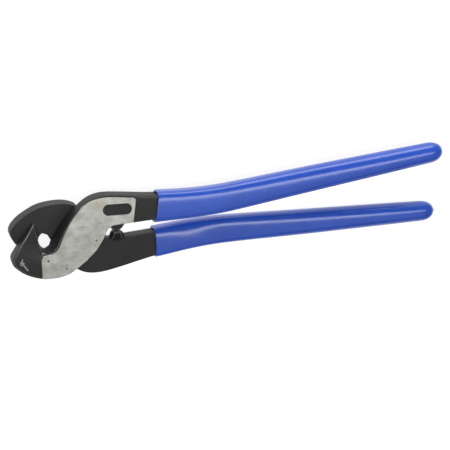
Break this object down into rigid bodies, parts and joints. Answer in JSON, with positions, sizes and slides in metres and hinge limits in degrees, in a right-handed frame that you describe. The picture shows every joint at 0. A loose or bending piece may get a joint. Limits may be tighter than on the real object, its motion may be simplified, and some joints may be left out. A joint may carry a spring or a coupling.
{
  "type": "hand cable cutter",
  "caption": "Hand cable cutter: crossed forged levers with hooked shear jaws on a flush rivet, stop lugs and dipped vinyl grips.",
  "frame": {"origin": "on the pivot axis, in the plane of the rear lever's ground back pad", "axes": "+X from the pivot towards the grips, +Y towards the front lever's grip, +Z out of the front pad along the pivot"},
  "size_m": [0.2403, 0.047, 0.0215],
  "materials": {
    "forged_steel": "black oxide forging with bright ground pads",
    "ground_steel": "ground flush",
    "blue_vinyl": "glossy dipped vinyl"
  },
  "bodies": {
    "rear_half": {"rear_lever": "forged_steel", "pivot_rivet": "ground_steel", "lower_grip": "blue_vinyl"},
    "front_half": {"front_lever": "forged_steel", "upper_grip": "blue_vinyl"}
  },
  "joints": [
    {"name": "pivot", "type": "hinge", "parent": "rear_half", "child": "front_half", "pos_m": [0, 0, 0.01025], "axis": [0, 0, 1], "range_deg": [0, 70]}
  ]
}
